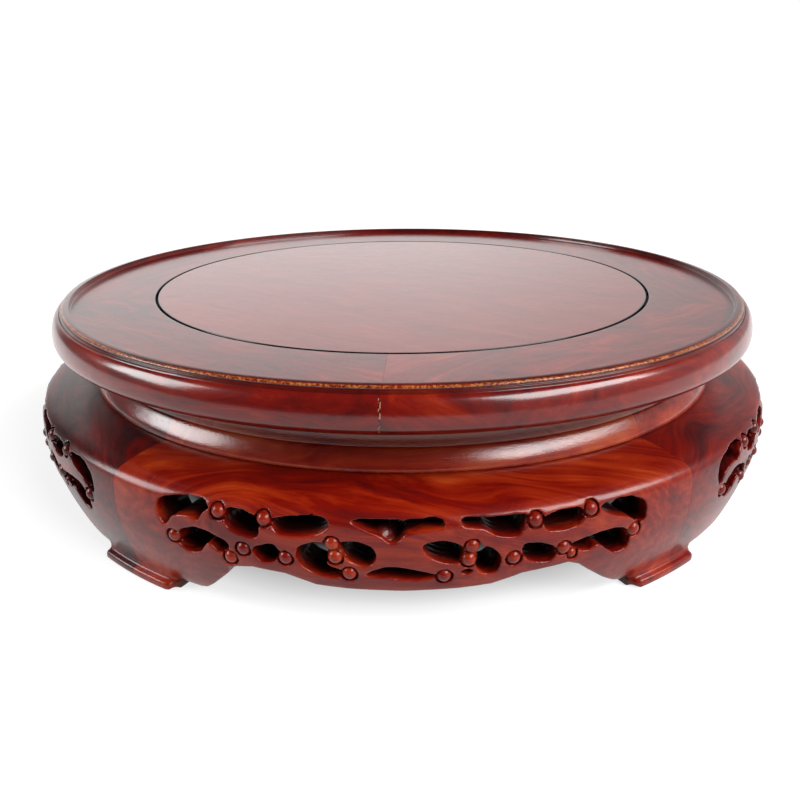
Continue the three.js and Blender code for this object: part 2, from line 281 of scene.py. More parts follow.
def smooth_loop(points, samples):
    """A closed smooth curve through the points, with the given number of samples from each to the next."""
    points = np.array(points, float)
    count = len(points)
    result = []
    for i in range(count):
        p0, p1, p2, p3 = (points[(i + k) % count] for k in (-1, 0, 1, 2))
        steps = [np.linalg.norm(b - a) ** 0.5 for a, b in ((p0, p1), (p1, p2), (p2, p3))]
        k0, k1, k2, k3 = np.cumsum([0] + steps)
        t = np.linspace(k1, k2, samples, endpoint=False)[:, None]

        def mix(a, b, start, end):
            return ((end - t) * a + (t - start) * b) / (end - start)

        a1, a2, a3 = mix(p0, p1, k0, k1), mix(p1, p2, k1, k2), mix(p2, p3, k2, k3)
        result.append(mix(mix(a1, a2, k0, k2), mix(a2, a3, k1, k3), k1, k2))
    return np.vstack(result)


def inside_distance(polygon, x, y):
    """Distance to the polygon's edge, above zero inside it, for arrays of points."""
    best = np.full(np.broadcast(x, y).shape, np.inf)
    inside = np.zeros(best.shape, bool)
    for (x0, y0), (x1, y1) in zip(polygon, np.roll(polygon, -1, axis=0)):
        dx, dy = x1 - x0, y1 - y0
        length = dx * dx + dy * dy
        if length == 0:
            continue
        t = np.clip(((x - x0) * dx + (y - y0) * dy) / length, 0, 1)
        best = np.minimum(best, np.hypot(x - x0 - t * dx, y - y0 - t * dy))
        if dy:
            inside ^= ((y0 > y) != (y1 > y)) & (x < x0 + (y - y0) * dx / dy)
    return np.where(inside, best, -best)


def counterclockwise(points, *others):
    """An outline and its lists of values, turned round if it runs clockwise."""
    x, y = points.T
    if np.sum(x * np.roll(y, -1) - y * np.roll(x, -1)) < 0:
        points, others = points[::-1], [other[::-1] for other in others]
    return points, *others


def section(parts):
    """A closed outline from runs of points, each with how worn the wood is there and how much painted shade
    it has.
    """
    points = np.vstack([np.array(run, float) for run, _, _ in parts])
    wear = np.concatenate([np.full(len(run), worn, float) for run, worn, _ in parts])
    painted_shade = np.concatenate([np.full(len(run), shade_share, float) for run, _, shade_share in parts])
    return counterclockwise(points, wear, painted_shade)


# Sections of the turned rings, as (radius, height)
def rim_section():
    inner, edge = LIP_INNER_RADIUS, LIP_INNER_RADIUS + LIP_WIDTH
    crest = LIP_TOP + LIP_CROWN
    arris = crest - ARRIS_DROP
    arris_foot = crest - LIP_EDGE
    fillet_top = LIP_TOP - FILLET_DROP
    fillet_edge = edge + FILLET_WIDTH
    quirk = fillet_edge + QUIRK_WIDTH
    belly = (RIM_RADIUS - RIM_UNDERCUT, RIM_BOTTOM)
    half = (PANEL_TOP - RIM_BOTTOM - RIM_UNDERCUT) / 2
    k = QUARTER_ELLIPSE
    widest_point = (RIM_RADIUS, RIM_BOTTOM + half + OVOLO_LIFT)
    seat_floor = PANEL_BOTTOM - SEAT_GAP
    return section([
        ([(LEDGE_RADIUS, RIM_BOTTOM), belly], 0, 0),
        (curve(belly, (RIM_RADIUS - RIM_UNDERCUT * (1 - k), RIM_BOTTOM),
                (RIM_RADIUS, RIM_BOTTOM + half * k), widest_point), 0, 0),
        (curve(widest_point, (RIM_RADIUS, PANEL_TOP - half),
                (quirk + OVOLO_LEAD[0], PANEL_TOP + OVOLO_LEAD[1]),
                (quirk + OVOLO_START[0], PANEL_TOP + OVOLO_START[1])), 0, 0),
        # Painted shade darkens the quirk, the fillet, the lip's outer wall, its crest and inner cove, and the
        # groove and its floor
        ([(quirk, PANEL_TOP - QUIRK_DEPTH), (fillet_edge, PANEL_TOP + QUIRK_DEPTH)], 0, QUIRK_SHADE),
        (curve((fillet_edge, fillet_top - FILLET_ROUND), (fillet_edge, fillet_top),
                (fillet_edge - FILLET_ROUND, fillet_top), steps=SMALL_STEPS), 0, FILLET_SHADE),
        ([(edge + FILLET_COVE, fillet_top), (edge, fillet_top + FILLET_COVE),
          (edge, arris_foot - FILLET_COVE)], 0, LIP_WALL_SHADE),
        ([(edge, arris_foot)], 1, 0),
        (curve((edge, arris_foot), (edge, arris), (edge - ARRIS_WIDTH, arris), steps=EDGE_STEPS), 1, 0),
        ([(edge - ARRIS_WIDTH - ARRIS_FADE, crest - ARRIS_DROP / 2), (inner + LIP_ROUND, crest)],
         0, LIP_SHADE),
        (curve((inner + LIP_ROUND, crest), (inner, crest), (inner, crest - LIP_ROUND),
                steps=SMALL_STEPS), 0, LIP_SHADE),
        (curve((inner, PANEL_TOP + LIP_COVE), (inner, PANEL_TOP), (inner - LIP_COVE, PANEL_TOP),
                steps=SMALL_STEPS), 0, LIP_COVE_SHADE),
        ([(inner - LIP_COVE_FADE, PANEL_TOP), (SEAT_RADIUS + GROOVE_FADE, PANEL_TOP)], 0, 0),
        (curve((SEAT_RADIUS + GROOVE_ROUND, PANEL_TOP), (SEAT_RADIUS, PANEL_TOP),
                (SEAT_RADIUS, PANEL_TOP - GROOVE_ROUND), steps=SMALL_STEPS), 0, 1),
        ([(SEAT_RADIUS, seat_floor), (LEDGE_RADIUS, seat_floor)], 0, 1),
    ])


def waist_section():
    crown = (WAIST_RADIUS - BEAD_SLOPE, WAIST_BOTTOM + BEAD_HEIGHT)
    foot = (WAIST_RADIUS, WAIST_BOTTOM)
    near_crown = (crown[0] + BEAD_ROUND, crown[1] - BEAD_ROUND)
    turn = (WAIST_RADIUS - BEAD_TURN[0], WAIST_BOTTOM + BEAD_TURN[1])
    # A curve with one handle goes half as deep as the handle lies
    neck_handle = (NECK_RADIUS - NECK_HOLLOW * 2, (crown[1] + WAIST_TOP) / 2)
    return section([
        ([(WAIST_INNER_RADIUS, BASE_TOP), (WAIST_RADIUS - BEAD_UNDERCUT, BASE_TOP)], 0, 0),
        ([foot], BEAD_WEAR, 0),
        (curve(foot, (WAIST_RADIUS, WAIST_BOTTOM + BEAD_FOOT), turn, near_crown), 0, 0),
        (curve(near_crown, crown, (crown[0] - BEAD_ROUND, crown[1]), steps=SMALL_STEPS), 0, 0),
        # The neck, in the shadow of the rim above it, has painted shade
        (curve((NECK_RADIUS, crown[1] + NECK_STEP), neck_handle, (NECK_RADIUS, RIM_BOTTOM)),
         0, NECK_SHADE),
        ([(WAIST_INNER_RADIUS, RIM_BOTTOM)], 0, 0),
    ])


def base_section(flare=TOE_FLARE):
    """Outline of a base block as (radius, height), from the foot's inner edge round the outside."""
    valley = (BELLY_RADIUS - FOOT_TUCK, TOE_HEIGHT + VALLEY_RISE)
    toe_radius = valley[0] + flare
    rise = WIDEST_HEIGHT - valley[1]
    inner = BELLY_RADIUS - WALL_THICKNESS
    ceiling = BASE_TOP - TOP_BOARD_THICKNESS
    belly = (BELLY_RADIUS, WIDEST_HEIGHT)
    shoulder = (BELLY_RADIUS - SHOULDER_RUN, BASE_TOP - SHOULDER_DROP)
    drop = shoulder[1] - WIDEST_HEIGHT
    slope = 2 * SHOULDER_DROP / (shoulder[0] - WAIST_RADIUS)
    reach = SHOULDER_RUN * SHOULDER_EDGE
    edge = (shoulder[0] + reach, shoulder[1] - slope * reach)
    k = QUARTER_ELLIPSE
    wall = curve(valley, (valley[0] + FOOT_TUCK * k, valley[1] + rise / 3),
                  (BELLY_RADIUS, WIDEST_HEIGHT - rise / 3), belly)
    wall = wall[wall[:, 1] > valley[1] + VALLEY_SOFTNESS]
    return np.vstack([
        [(inner, 0), (toe_radius - TOE_ROUND, 0)],
        curve((toe_radius - TOE_ROUND, 0), (toe_radius, 0), (toe_radius, TOE_ROUND), steps=EDGE_STEPS),
        curve((toe_radius, TOE_HEIGHT - TOE_LEDGE), (toe_radius, TOE_HEIGHT - TOE_NOSE),
               (toe_radius - TOE_LEDGE, TOE_HEIGHT), steps=EDGE_STEPS),
        curve((toe_radius - TOE_LEDGE, TOE_HEIGHT), (valley[0], TOE_HEIGHT + TOE_COVE), wall[0]),
        wall[1:],
        curve(belly, (BELLY_RADIUS, WIDEST_HEIGHT + drop * SHOULDER_EDGE), edge, shoulder,
               steps=2 * CURVE_STEPS),
        curve(shoulder, ((shoulder[0] + WAIST_RADIUS) / 2, BASE_TOP), (WAIST_RADIUS, BASE_TOP)),
        [(TOP_BOARD_RADIUS, BASE_TOP), (TOP_BOARD_RADIUS, ceiling), (inner - CEILING_SLOPE, ceiling),
         (inner, ceiling - CEILING_SLOPE)],
    ])


def outer_radius(outline, up):
    """Radius of the base's outer skin at each height, from the outline's outer part."""
    outer = outline[1:-INNER_CORNERS]
    return np.interp(up, outer[:, 1], outer[:, 0])


# Meshes
def make_object(name, vertices, faces, attributes=None):
    """A smooth-shaded object from corners in millimetres, with its hard edges kept."""
    mesh = bpy.data.meshes.new(name)
    mesh.from_pydata((np.asarray(vertices) * MM).tolist(), [], faces)
    mesh.validate()
    mesh.shade_smooth()
    mesh.set_sharp_from_angle(angle=SHARP_ANGLE)
    for key, values in (attributes or {}).items():
        layer = mesh.attributes.new(key, "FLOAT", "POINT")
        layer.data.foreach_set("value", np.asarray(values, np.float32))
    piece = bpy.data.objects.new(name, mesh)
    bpy.context.scene.collection.objects.link(piece)
    return piece


def around_axis(radius, azimuth, height):
    return np.stack([radius * np.sin(azimuth), -radius * np.cos(azimuth), height], axis=-1)


def ring_piece(name, outline, first, last, radius, jointed_below=0.0):
    """One glued segment of a ring, between two azimuths. Its joints are as wide as they are at the given
    radius, and show on what lies below the given height."""
    points, wear, painted_shade = outline
    gap, line, clear = (distance / radius for distance in (JOINT_GAP, JOINT_LINE, JOINT_CLEAR))
    stations = np.array([gap, line, *np.linspace(clear, last - first - clear, RING_STEPS),
                         last - first - line, last - first - gap])
    glued = np.minimum(stations, last - first - stations) * radius < JOINT_CLEAR / 2
    count = len(points)
    rings = [around_axis(points[:, 0], first + station, points[:, 1]) for station in stations]
    faces = []
    for i in range(len(stations) - 1):
        for j in range(count):
            k = (j + 1) % count
            faces.append((i * count + j, (i + 1) * count + j, (i + 1) * count + k, i * count + k))
    faces.append(tuple(range(count)))
    faces.append(tuple((len(stations) - 1) * count + j for j in reversed(range(count))))
    joint = glued[:, None] & (points[:, 1] < jointed_below)[None, :]
    return make_object(name, np.vstack(rings), faces,
                       {"wear": np.tile(wear, len(stations)), "painted_shade": np.tile(painted_shade, len(stations)),
                        "joint": joint.ravel()})


def panel_piece():
    """The centre panel: a disc whose side wall and outer edge, down in the rim's groove, have painted shade.
    """
    radius, low, high = PANEL_RADIUS, PANEL_BOTTOM, PANEL_TOP
    soft = GROOVE_ROUND
    side = np.vstack([
        [(radius - soft, low), (radius, low + soft), (radius, high - soft)],
        curve((radius, high - soft), (radius, high), (radius - soft, high), steps=SMALL_STEPS),
        [(radius - 3 * soft, high)],
        [(radius * share, high) for share in PANEL_RINGS],
    ])
    angles = np.linspace(0, 2 * math.pi, PANEL_STEPS, endpoint=False)
    rings = [around_axis(np.full(PANEL_STEPS, r), angles, np.full(PANEL_STEPS, z)) for r, z in side]
    vertices = np.vstack(rings + [[(0, 0, high), (0, 0, low)]])
    faces = []
    last = len(side) - 1
    top, bottom = len(vertices) - 2, len(vertices) - 1
    for j in range(PANEL_STEPS):
        k = (j + 1) % PANEL_STEPS
        for i in range(last):
            a, b = i * PANEL_STEPS, (i + 1) * PANEL_STEPS
            faces.append((a + j, a + k, b + k, b + j))
        faces.append((last * PANEL_STEPS + j, last * PANEL_STEPS + k, top))
        faces.append((k, j, bottom))
    return make_object("centre_board", vertices, faces,
                       {"painted_shade": np.hypot(vertices[:, 0], vertices[:, 1]) > radius - PANEL_FADE})


# The carved base block, as a field over (across, up, radius) that is below zero in the wood
def graded_axis(stops, steps):
    """Places along an axis, stepped finely or coarsely between the stops."""
    parts = [np.arange(a, b, step) for a, b, step in zip(stops, stops[1:], steps)]
    return np.concatenate(parts + [[stops[-1]]])


def smooth_max(a, b, width):
    """The greater of two fields, with the edge between them rounded over the width."""
    blend = np.clip(1 - np.abs(a - b) / width, 0, None)
    return np.maximum(a, b) + blend * blend * width / 4


def smooth_min(a, b, width):
    return -smooth_max(-a, -b, width)


def window_place(place, shift):
    """A place in the window's scale as millimetres across and up."""
    across, up = place
    return (shift + across / WINDOW_SCALE * WINDOW_HALF_WIDTH,
            WINDOW_FOOT + up / WINDOW_SCALE * (WINDOW_HEAD - WINDOW_FOOT))


def openings_field(across, up, shift):
    """Distance into the nearest opening, below zero in the branches."""
    best = np.full((len(across), len(up)), -OPENING_REACH)
    for points in OPENWORK.values():
        loop = smooth_loop([window_place(p, shift) for p in points], OPENING_SAMPLES)
        low, high = loop.min(axis=0) - OPENING_REACH, loop.max(axis=0) + OPENING_REACH
        i = slice(*np.searchsorted(across, (low[0], high[0])))
        j = slice(*np.searchsorted(up, (low[1], high[1])))
        near = inside_distance(loop, across[i, None], up[None, j])
        best[i, j] = np.maximum(best[i, j], near)
    return best


def arch_field(across, up, trim):
    """Distance below the apron's lower edge, with the left foot narrower by the trim."""
    left = [(-a - (trim if a > LOBE_START else 0), z) for a, z in reversed(APRON_LEFT)]
    arch = np.array([*left, APRON_MIDDLE, *APRON_RIGHT], float)
    return inside_distance(arch, across[:, None], up[None, :])


def stipple(a, z, r):
    """Uneven dimples, made by crossing ripples."""
    dimples = KNOT_STIPPLE
    for across, up, outwards in KNOT_RIPPLES:
        dimples = dimples * np.sin(across * a + up * z + outwards * r)
    return dimples


def gouge_marks(a, z, r):
    """Uneven hollows, made by two crossing ripples of which one sways."""
    along = 2 * math.pi / GOUGE_LENGTH * r + GOUGE_SWAY * np.sin(GOUGE_SWAY_UP * z) + GOUGE_SLANT * a
    return GOUGE_DEPTH * np.sin(along) * np.sin(GOUGE_CROSS_UP * z + GOUGE_CROSS_SLANT * a)


def add_bud(field, axes, skin, place, radius, sink, depth, groove=0.0, stippled=False):
    """A round bud on a short stem through the wall, with a cut ring round it or stippled."""
    across, up, radial = axes
    reach = radius + BUD_MARGIN
    i = slice(*np.searchsorted(across, (place[0] - reach, place[0] + reach)))
    j = slice(*np.searchsorted(up, (place[1] - reach, place[1] + reach)))
    a, z, r = across[i, None, None], up[None, j, None], radial[None, None, :]
    top = np.interp(place[1], up, skin) - sink
    along = np.clip(r - top, -depth, 0)
    bud = np.sqrt((a - place[0]) ** 2 + (z - place[1]) ** 2 + (r - top - along) ** 2) - radius
    if stippled:
        bud = bud + stipple(a, z, r)
    here = field[i, j, :]
    if groove:
        ring = np.maximum(bud - groove, skin[None, j, None] - r - BUD_GROOVE_DEPTH)
        here = smooth_max(here, -ring, BUD_GROOVE / 2)
    field[i, j, :] = smooth_min(here, bud, BUD_GROOVE / 2)


def carved_field(axes, skin, shift, trim):
    """The whole block: its wall with the openings, the arch below and the buds."""
    across, up, radial = axes
    a, z, r = across[:, None, None], up[None, :, None], radial[None, None, :]
    plain, flared = (-inside_distance(base_section(flare), radial[None, :], up[:, None])
                     for flare in (0, TOE_FLARE))
    start = FOOT_START + np.where(across < 0, trim, 0)
    share = np.clip((np.abs(across) - start) / TOE_FADE, 0, 1)
    share = (share * share * (3 - 2 * share))[:, None, None]
    shell = plain * (1 - share) + flared * share
    windows = openings_field(across, up, shift)[:, :, None]
    field = smooth_max(shell, windows + gouge_marks(a, z, r), OPENING_ROUND)
    field = smooth_max(field, arch_field(across, up, trim)[:, :, None], ARCH_ROUND)
    buds = [(place, BUD_RADIUS) for place in BUDS] + [(place, SMALL_BUD_RADIUS) for place in SMALL_BUDS]
    for place, radius in buds:
        add_bud(field, axes, skin, window_place(place, shift), radius, BUD_SINK, BUD_DEPTH, groove=BUD_GROOVE)
    add_bud(field, axes, skin, window_place(KNOT_PLACE, shift), KNOT_RADIUS, KNOT_SINK, KNOT_DEPTH,
            stippled=True)
    return field


def cut_ends(mesh):
    """Cut a block at its joint faces and close it there."""
    turn = SEGMENT_ANGLE / 2 - JOINT_GAP / BELLY_RADIUS
    work = bmesh.new()
    work.from_mesh(mesh)
    for side in (-1, 1):
        outwards = (side * math.cos(turn), math.sin(turn), 0)
        everything = [*work.verts, *work.edges, *work.faces]
        cut = bmesh.ops.bisect_plane(work, geom=everything, dist=CUT_TOLERANCE, clear_outer=True,
                                     plane_co=(0, 0, 0), plane_no=outwards)
        edges = [item for item in cut["geom_cut"] if isinstance(item, bmesh.types.BMEdge)]
        bmesh.ops.holes_fill(work, edges=edges)
    work.to_mesh(mesh)
    work.free()


def thin_out(mesh, faces):
    """Collapse a mesh to about the given number of triangles."""
    helper = bpy.data.objects.new("helper", mesh)
    bpy.context.scene.collection.objects.link(helper)
    modifier = helper.modifiers.new("thin", "DECIMATE")
    modifier.ratio = min(1.0, faces / (2 * len(mesh.polygons)))
    result = bpy.data.meshes.new_from_object(helper.evaluated_get(bpy.context.evaluated_depsgraph_get()))
    bpy.data.objects.remove(helper)
    return result


def carved_block(shift, trim):
    """Corners, faces and carved depths of one kind of block, with its middle at the front."""
    margin = 2 * COARSE_STEP
    fine_to = WINDOW_HALF_WIDTH + abs(shift) + FINE_MARGIN
    inner = BELLY_RADIUS - WALL_THICKNESS
    across = graded_axis([-HALF_PANEL - margin, -fine_to, fine_to, HALF_PANEL + margin],
                         [COARSE_STEP, FINE_STEP, COARSE_STEP])
    up = graded_axis([-margin, 0, BASE_TOP + margin], [COARSE_STEP, FINE_STEP])
    radial = graded_axis([TOP_BOARD_RADIUS - margin, inner + ROUGH_WALL, BELLY_RADIUS + margin],
                         [COARSE_STEP, FINE_STEP])
    axes = (across, up, radial)
    skin = outer_radius(base_section(), up)
    field = carved_field(axes, skin, shift, trim)
    grid = openvdb.FloatGrid(background=margin)
    grid.copyFromArray(np.ascontiguousarray(field, np.float32))
    points, quads = grid.convertToQuads(0.0)
    a, z, r = (np.interp(points[:, n], np.arange(len(axis)), axis) for n, axis in enumerate(axes))
    mesh = bpy.data.meshes.new("carving")
    mesh.from_pydata(around_axis(r, a / BELLY_RADIUS, z).tolist(), [], quads.tolist())
    mesh = thin_out(mesh, BLOCK_FACES)
    cut_ends(mesh)
    place = np.empty(len(mesh.vertices) * 3, np.float32)
    mesh.vertices.foreach_get("co", place)
    place = place.reshape(-1, 3)
    faces = [tuple(face.vertices) for face in mesh.polygons]
    depth = np.interp(place[:, 2], up, skin) - np.hypot(place[:, 0], place[:, 1])
    bpy.data.meshes.remove(mesh)
    return place, faces, depth


def base_piece(name, carved, centre):
    """One block from its kind's corners, turned to its place on the ring."""
    place, faces, depth = carved
    vertices = place @ np.array(Matrix.Rotation(centre, 3, "Z")).T
    # Deep in the carving the block gets painted shade and a duller lacquer
    hollow_shade_and_dullness = (depth - HOLLOW_START) / (HOLLOW_END - HOLLOW_START)
    return make_object(name, vertices, faces, {"carved": np.clip(hollow_shade_and_dullness, 0, 1)})


# Wood under lacquer
DARK_WOOD = (0.016, 0.002, 0.002, 1)
DEEP_WOOD = (0.070, 0.002, 0.002, 1)
RED_WOOD = (0.165, 0.004, 0.001, 1)
ORANGE_WOOD = (0.290, 0.020, 0.003, 1)
PALE_WOOD = (0.360, 0.048, 0.008, 1)
GOLD_WEAR = (0.46, 0.155, 0.026, 1)
PUTTY = (0.42, 0.20, 0.13, 1)
# Near-black colour of the painted shade in the rim's creases and groove and in the waist's neck
PAINTED_SHADE_DARK = (0.008, 0.001, 0.001, 1)
# HOLLOW_SHADE is painted shade, multiplied into the colour deep in the carved openings
HOLLOW_SHADE = (0.10, 0.05, 0.05, 1)
WOOD_TONES = [(0.0, DARK_WOOD), (0.28, DEEP_WOOD), (0.55, RED_WOOD), (0.82, ORANGE_WOOD), (1.0, PALE_WOOD)]

# Layers of noise. A scale is how often one repeats in a millimetre along, across and through the grain
NOISES = {
    "sway": dict(scale=(0.011, 0.024, 0.024), detail=2.0),
    "broad": dict(scale=(0.012, 0.11, 0.11)),
    "streak": dict(scale=(0.020, 0.42, 0.42), detail=5.0, roughness=0.62),
    "fine": dict(scale=(0.09, 2.6, 2.6), roughness=0.6),
    "mottle": dict(scale=(0.05, 0.06, 0.06), detail=2.0),
    "pores": dict(scale=(0.35, 5.0, 5.0), detail=2.0),
    "specks": dict(scale=(1.3, 1.3, 1.3), roughness=0.75),
    "putty": dict(scale=(0.9, 0.9, 0.9), detail=1.0),
    "ripple": dict(scale=(0.10, 0.10, 0.10), detail=2.0),
    "grains": dict(scale=(2.2, 2.2, 2.2), detail=2.0),
}

# Shares of the layers in how light the wood is, their mean, and how far in millimetres the grain sways
FIGURE_SHARES = {"broad": 0.55, "streak": 0.60, "fine": 0.14, "mottle": 0.30}
FIGURE_MEAN = 0.795
GRAIN_SWAY = {"Y": 60.0, "Z": 34.0}
SEED_STEPS = (137.0, 71.0, 29.0)
DRIFT_REACH = 20.0
DRIFT_LENGTH = 100

# What shows above a level, as that level and how steeply it comes, and how much of it shows
PORES = (0.62, 5.0)
SPECKS = (0.46, 9.0)
GLUE_LINE = (0.55, 4.0)
PUTTY_DOTS = (0.51, 12.0)
PORE_SHARE = 0.45
RUB_SHARE = 0.9
GLUE_SHARE = 0.35

# Surface of the wood and of the lacquer over it
WOOD_ROUGHNESS = 0.28
FINE_ROUGHNESS = 0.16
HOLLOW_ROUGHNESS = 0.25
FILM_RELIEF = {"Strength": 0.35, "Distance": 0.00022}
GRAIN_RELIEF = {"Strength": 0.30, "Distance": 0.00015}
LACQUERED_WOOD = {"IOR": 1.5, "Specular IOR Level": 0.1, "Coat IOR": 1.5}

# Plain wood of the hidden dowels and tongues. Its scale is how often the grain repeats in a metre
DOWEL_GRAIN = dict(scale=(900, 900, 160), detail=4.0)
DOWEL_TONES = [(0.3, (0.36, 0.19, 0.08, 1)), (0.7, (0.56, 0.34, 0.17, 1))]
DOWEL_RELIEF = {"Strength": 0.3, "Distance": 0.0002}
DOWEL_ROUGHNESS = 0.55
DOWEL_FINE_ROUGHNESS = 0.2


class Nodes:
    """Short words for building one material's nodes."""

    def __init__(self, name):
        self.material = bpy.data.materials.new(name)
        self.material.use_nodes = True
        self.tree = self.material.node_tree
        self.shader = self.tree.nodes["Principled BSDF"]

    def put(self, value, socket):
        if isinstance(value, bpy.types.NodeSocket):
            self.tree.links.new(value, socket)
        else:
            socket.default_value = value

    def add(self, kind, inputs=None, **settings):
        node = self.tree.nodes.new(kind)
        for key, value in settings.items():
            setattr(node, key, value)
        for key, value in (inputs or {}).items():
            self.put(value, node.inputs[key])
        return node

    def maths(self, operation, a, b=0.0, clamp=False):
        return self.add("ShaderNodeMath", {0: a, 1: b}, operation=operation, use_clamp=clamp).outputs[0]

    def noise(self, vector, scale=(1, 1, 1), detail=3.0, roughness=0.55):
        vector = self.mapped(vector, scale)
        node = self.add("ShaderNodeTexNoise", {"Vector": vector, "Scale": 1.0, "Detail": detail,
                                               "Roughness": roughness})
        return node.outputs["Fac"]

    def mapped(self, vector, scale=(1, 1, 1), place=(0, 0, 0), turn=(0, 0, 0)):
        node = self.add("ShaderNodeMapping", {"Vector": vector, "Location": place, "Scale": scale,
                                              "Rotation": turn})
        return node.outputs["Vector"]

    def above(self, value, start, slope):
        """0 below start, then rising with the slope up to 1."""
        return self.maths("MULTIPLY", self.maths("SUBTRACT", value, start), slope, clamp=True)

    def ramp(self, value, stops):
        node = self.add("ShaderNodeValToRGB", {"Fac": value})
        band = node.color_ramp
        while len(band.elements) < len(stops):
            band.elements.new(0.5)
        for element, (place, colour) in zip(band.elements, stops):
            element.position = place
            element.color = colour
        return node.outputs["Color"]

    def mix(self, factor, a, b, blend="MIX"):
        node = self.add("ShaderNodeMix", {0: factor, 6: a, 7: b}, data_type="RGBA", blend_type=blend)
        return node.outputs[2]

    def attribute(self, name):
        return self.add("ShaderNodeAttribute", attribute_name=name).outputs["Fac"]

    def finish(self, values):
        """Set or link the shader's own sockets."""
        for socket, value in values.items():
            self.put(value, self.shader.inputs[socket])


def figured(n, board, grain, along, tone, contrast, drift):
    """How light the wood is from 0 to 1, and the finest of its layers."""
    layers = {layer: n.noise(grain, **NOISES[layer]) for layer in ("broad", "streak", "fine")}
    layers["mottle"] = n.noise(board, **NOISES["mottle"])
    value = 0.0
    for layer, share in FIGURE_SHARES.items():
        value = n.maths("ADD", value, n.maths("MULTIPLY", layers[layer], share))
    value = n.maths("MULTIPLY", n.maths("SUBTRACT", value, FIGURE_MEAN), contrast)
    along = n.maths("MINIMUM", n.maths("MAXIMUM", along, -DRIFT_REACH), DRIFT_REACH)
    value = n.maths("ADD", value, n.maths("MULTIPLY", along, drift / DRIFT_LENGTH))
    return n.maths("ADD", value, tone, clamp=True), layers["fine"]


def aged(n, colour, board, grain, hollow_shade_and_dullness):
    """The wood's colour with its pores, rubbed edges and puttied glue lines, with painted shade in the rim's
    creases and groove, the panel's edge and the waist's neck, and with painted shade deep in the carved
    openings.
    """
    pores = n.above(n.noise(grain, **NOISES["pores"]), *PORES)
    colour = n.mix(n.maths("MULTIPLY", pores, PORE_SHARE), colour, DARK_WOOD)
    specks = n.above(n.noise(board, **NOISES["specks"]), *SPECKS)
    rub = n.maths("MULTIPLY", n.attribute("wear"), specks)
    colour = n.mix(n.maths("MULTIPLY", rub, RUB_SHARE), colour, GOLD_WEAR)
    # Painted shade: the rim's creases, lip and groove, the panel's edge and the waist's neck are darkened
    # towards near black
    colour = n.mix(n.attribute("painted_shade"), colour, PAINTED_SHADE_DARK)
    joint = n.above(n.attribute("joint"), *GLUE_LINE)
    colour = n.mix(n.maths("MULTIPLY", joint, GLUE_SHARE), colour, DARK_WOOD)
    dots = n.above(n.noise(board, **NOISES["putty"]), *PUTTY_DOTS)
    colour = n.mix(n.maths("MULTIPLY", joint, dots), colour, PUTTY)
    # Painted shade: deep in the carved openings the colour is multiplied towards HOLLOW_SHADE
    return n.mix(hollow_shade_and_dullness, colour, n.mix(1.0, colour, HOLLOW_SHADE, blend="MULTIPLY"))


def wood(name, turn, seed, tone, lean=0.0, yaw=0.0, drift=0.0, contrast=1.6, peel=0.25, haze=0.15,
         gloss=1.0):
    """Rosewood with its grain along the board's length. turn is the board's azimuth, seed shifts the
    figure, tone makes it lighter or darker, contrast makes it plainer or bolder, lean tips the grain up
    and yaw turns it level. drift is how much lighter it grows along 100 mm about the board's middle,
    peel is how grainy the lacquer lies, haze is how dull it is and gloss how much of it there is."""
    n = Nodes(name)
    place = n.mapped(n.add("ShaderNodeTexCoord").outputs["Object"], (1 / MM, 1 / MM, 1 / MM))
    level = n.mapped(place, turn=(0, 0, -turn))
    along = n.add("ShaderNodeSeparateXYZ", {0: level}).outputs["X"]
    board = n.mapped(level, place=[seed * step for step in SEED_STEPS], turn=(0, lean, yaw))
    sway = n.noise(board, **NOISES["sway"])
    shift = n.add("ShaderNodeCombineXYZ",
                  {axis: n.maths("MULTIPLY", sway, reach) for axis, reach in GRAIN_SWAY.items()})
    grain = n.add("ShaderNodeVectorMath", {0: board, 1: shift.outputs[0]}, operation="ADD").outputs[0]
    value, fine = figured(n, board, grain, along, tone, contrast, drift)
    # The carved depth sets both the painted shade in the openings and their duller lacquer
    hollow_shade_and_dullness = n.attribute("carved")
    colour = aged(n, n.ramp(value, WOOD_TONES), board, grain, hollow_shade_and_dullness)
    roughness = n.maths("ADD", n.maths("MULTIPLY", fine, FINE_ROUGHNESS), WOOD_ROUGHNESS)
    roughness = n.maths("ADD", roughness, n.maths("MULTIPLY", hollow_shade_and_dullness, HOLLOW_ROUGHNESS))
    ripple = n.noise(place, **NOISES["ripple"])
    grains = n.noise(place, **NOISES["grains"])
    surface = n.maths("ADD", ripple, n.maths("MULTIPLY", grains, peel))
    film = n.add("ShaderNodeBump", {**FILM_RELIEF, "Height": surface}).outputs[0]
    relief = n.add("ShaderNodeBump", {**GRAIN_RELIEF, "Height": fine, "Normal": film}).outputs[0]
    n.finish({"Base Color": colour, "Roughness": roughness, "Normal": relief, "Coat Normal": film,
              "Coat Weight": gloss, "Coat Roughness": haze, **LACQUERED_WOOD})
    return n.material


def bare_wood(name):
    """Plain unfinished hardwood of the hidden dowels and tongues."""
    n = Nodes(name)
    grain = n.noise(n.add("ShaderNodeTexCoord").outputs["Object"], **DOWEL_GRAIN)
    roughness = n.maths("ADD", n.maths("MULTIPLY", grain, DOWEL_FINE_ROUGHNESS), DOWEL_ROUGHNESS)
    relief = n.add("ShaderNodeBump", {**DOWEL_RELIEF, "Height": grain}).outputs[0]
    n.finish({"Base Color": n.ramp(grain, DOWEL_TONES), "Roughness": roughness, "Normal": relief})
    return n.material


def finish_piece(piece, node, material):
    piece.data.materials.append(material)
    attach(piece, "root")
    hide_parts(node)


